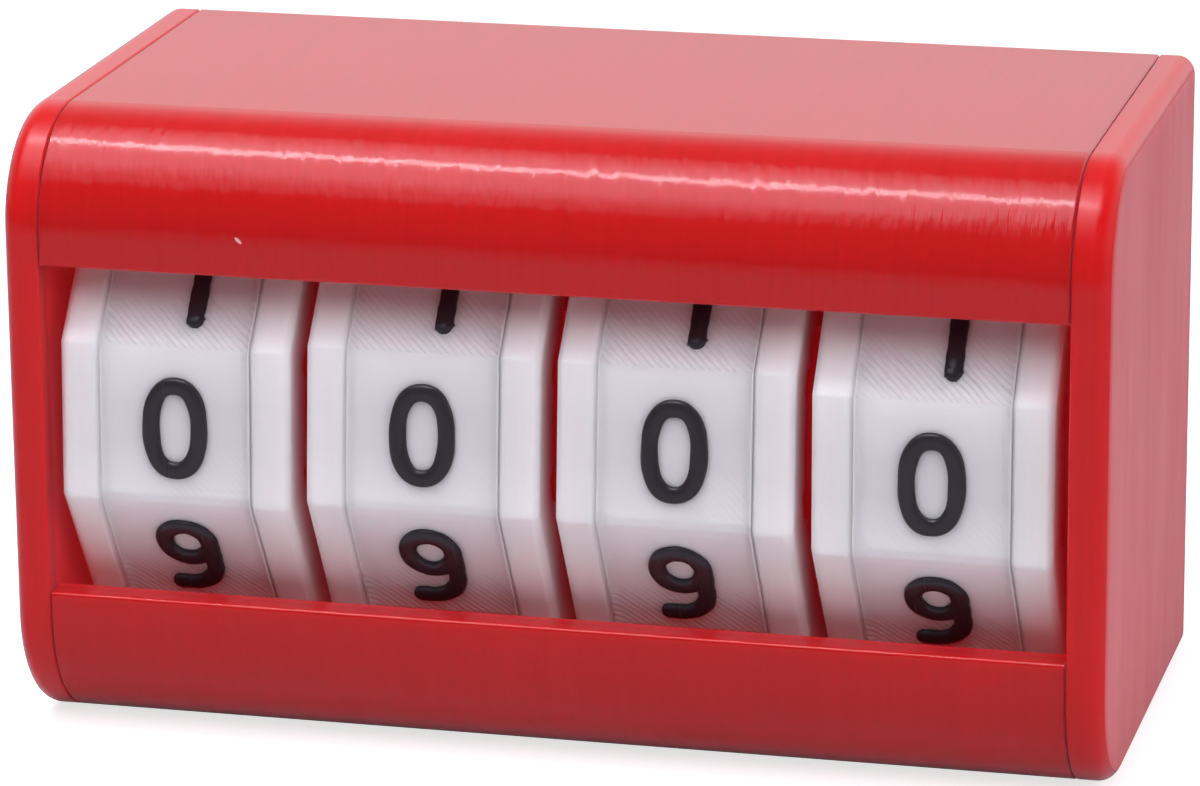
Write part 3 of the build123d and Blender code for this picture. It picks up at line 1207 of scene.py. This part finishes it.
@dataclass
class Studio:
    """The floor, the light and the camera, with sizes in metres."""

    floor_size: float = 6.0
    floor_colour: Triple = (0.62, 0.62, 0.62)
    floor_roughness: float = 0.9
    floor_specular: float = 0.1
    floor_grain_scale: float = 900.0
    floor_grain_depth: float = 0.02 * MM
    floor_lift: float = 0.72
    floor_mirrored_lift: float = 0.03
    sky_seen: float = 1.0
    sky_lighting: float = 0.07
    sky_bias: Triple = (0.04, -0.03, 0.0)
    dark_side: float = 0.32
    dark_side_range: Pair = (-0.5, 0.1)
    dark_ceiling: float = 0.4
    dark_ceiling_range: Pair = (0.45, 0.75)
    softbox_height: float = 0.35
    softbox_spacing: float = 0.002
    softbox_corners: tuple[Pair, ...] = ((-0.202, -0.010), (0.048, -0.129))
    softbox_bands: tuple[SoftboxBand, ...] = (
        SoftboxBand("softbox_outer", -0.130, 0.43, 1.18),
        SoftboxBand("softbox_middle", -0.095, 0.29, 1.22),
        SoftboxBand("softbox_inner", -0.065, 0.205, 1.3),
        SoftboxBand("softbox_strip", -0.011, 0.012, 31.0),
    )
    light_colour: Triple = (0.97, 0.97, 1.08)
    soft_lights: tuple[SoftLight, ...] = (
        SoftLight("right_fill", (0.7, -0.15, 0.3), (0.5, 0.4), 3.7),
        SoftLight("front_soft", (0.1, -0.50, 0.46), (0.6, 0.3), 2.3),
        SoftLight("rear_soft", (0.0, 0.5, 0.5), (0.8, 0.5), 0.9),
    )
    viewpoint: Viewpoint = field(default_factory=Viewpoint)

    def white_sight(self, writer: NodeWriter) -> Socket:
        """1 for camera, glossy and transmission rays, and 0 for the rays that light things."""
        path = writer.add("LightPath").outputs
        some = writer.math("MAXIMUM", path["Is Camera Ray"], path["Is Glossy Ray"])
        return writer.math("MAXIMUM", some, path["Is Transmission Ray"])

    def make_floor(self) -> None:
        """A large pale floor, seen a little brighter than it is lit."""
        half = self.floor_size / 2
        corners = [(-half, -half, 0), (half, -half, 0), (half, half, 0), (-half, half, 0)]
        mesh = bpy.data.meshes.new("floor")
        mesh.from_pydata(corners, [], [(0, 1, 2, 3)])
        material = bpy.data.materials.new("pale_floor")
        writer = NodeWriter.afresh(material)
        camera_sight = writer.add("LightPath").outputs["Is Camera Ray"]
        more = writer.math("MULTIPLY", camera_sight, self.floor_lift - self.floor_mirrored_lift)
        lift = writer.math("MULTIPLY_ADD", self.white_sight(writer), self.floor_mirrored_lift, more)
        grain = FineGrain().place(writer, {"Scale": self.floor_grain_scale})
        bump = writer.add("Bump", {"Height": grain["Height"], "Distance": self.floor_grain_depth})
        paper = writer.add("BsdfPrincipled", {
            "Base Color": (*self.floor_colour, 1.0),
            "Roughness": self.floor_roughness,
            "Specular IOR Level": self.floor_specular,
            "Emission Color": WHITE,
            "Emission Strength": lift,
            "Normal": bump.outputs[0],
        })
        writer.add("OutputMaterial", {"Surface": paper.outputs[0]})
        mesh.materials.append(material)
        floor = bpy.data.objects.new("floor", mesh)
        bpy.context.scene.collection.objects.link(floor)

    def make_sky(self) -> None:
        """A surround that is seen white, mirrored darker in front and overhead, and lights little.

        The light from a direction is the even part plus the direction times the bias.
        """
        world = bpy.data.worlds.new("surround")
        writer = NodeWriter.afresh(world)
        direction = writer.add("TexCoord").outputs["Generated"]
        lean = writer.vector("DOT_PRODUCT", direction, self.sky_bias)
        lighting = writer.math("ADD", lean, self.sky_lighting)
        parts = writer.parts(direction)
        level = writer.remap(parts["Y"], *self.dark_side_range, self.dark_side, self.sky_seen)
        overhead = writer.remap(parts["Z"], *self.dark_ceiling_range, 1.0, self.dark_ceiling)
        mirrored = writer.math("MULTIPLY", level, overhead)
        path = writer.add("LightPath").outputs
        sight = {0: path["Is Camera Ray"], 2: mirrored, 3: self.sky_seen}
        seen = writer.add("Mix", sight).outputs[0]
        more = writer.math("SUBTRACT", seen, lighting)
        strength = writer.math("MULTIPLY_ADD", more, self.white_sight(writer), lighting)
        background = writer.add("Background", {"Color": WHITE, "Strength": strength})
        writer.add("OutputWorld", {"Surface": background.outputs[0]})
        bpy.context.scene.world = world

    def make_light(
        self, name: str, place: Matrix, size: Sequence[float], radiance: float, mirrored: bool
    ) -> None:
        """A soft rectangular light.

        Args:
            name: Name of the light.
            place: Where it stands, shining along its own -Z.
            size: Its width and depth.
            radiance: How bright its face looks.
            mirrored: Whether glossy surfaces mirror it.
        """
        lamp = bpy.data.lights.new(name, "AREA")
        lamp.shape = "RECTANGLE"
        lamp.size, lamp.size_y = size
        lamp.color = self.light_colour
        lamp.energy = radiance * np.pi * size[0] * size[1]
        holder = bpy.data.objects.new(name, lamp)
        holder.matrix_world = place
        holder.visible_glossy = mirrored
        bpy.context.scene.collection.objects.link(holder)

    def make_lights(self) -> None:
        """A level softbox in front and above, in bands with a bright strip along the rear, and soft
        lights from the right, the front and the rear. The softbox reaches forward from the line between
        its two rear corners."""
        start, end = (np.array(corner) for corner in self.softbox_corners)
        width = float(np.linalg.norm(end - start))
        along = (end - start) / width
        forward = np.array([along[1], -along[0]])
        turn = Matrix.Rotation(float(np.arctan2(along[1], along[0])), 4, "Z")
        for order, band in enumerate(self.softbox_bands):
            spot = (start + end) / 2 + forward * (band.rear + band.depth / 2)
            height = self.softbox_height + order * self.softbox_spacing
            place = Matrix.Translation((*spot, height)) @ turn
            self.make_light(band.name, place, (width, band.depth), band.radiance, mirrored=True)
        for light in self.soft_lights:
            spot = Vector(light.place)
            place = Matrix.Translation(spot) @ spot.to_track_quat("Z", "Y").to_matrix().to_4x4()
            self.make_light(light.name, place, light.size, light.radiance, mirrored=False)

    def build(self) -> None:
        """Sets up the whole stage."""
        bpy.context.scene.view_settings.view_transform = "Standard"
        self.make_floor()
        self.make_sky()
        self.make_lights()
        self.viewpoint.build()


def main() -> None:
    """Builds every sub-assembly in order."""
    logging.basicConfig(level=logging.INFO, format="%(name)s: %(message)s")
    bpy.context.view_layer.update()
    Studio().build()
    Case().build()
    Works().build()
    for number in range(1, WHEEL_COUNT + 1):
        Wheel(number).build()


if __name__ == "__main__":
    main()
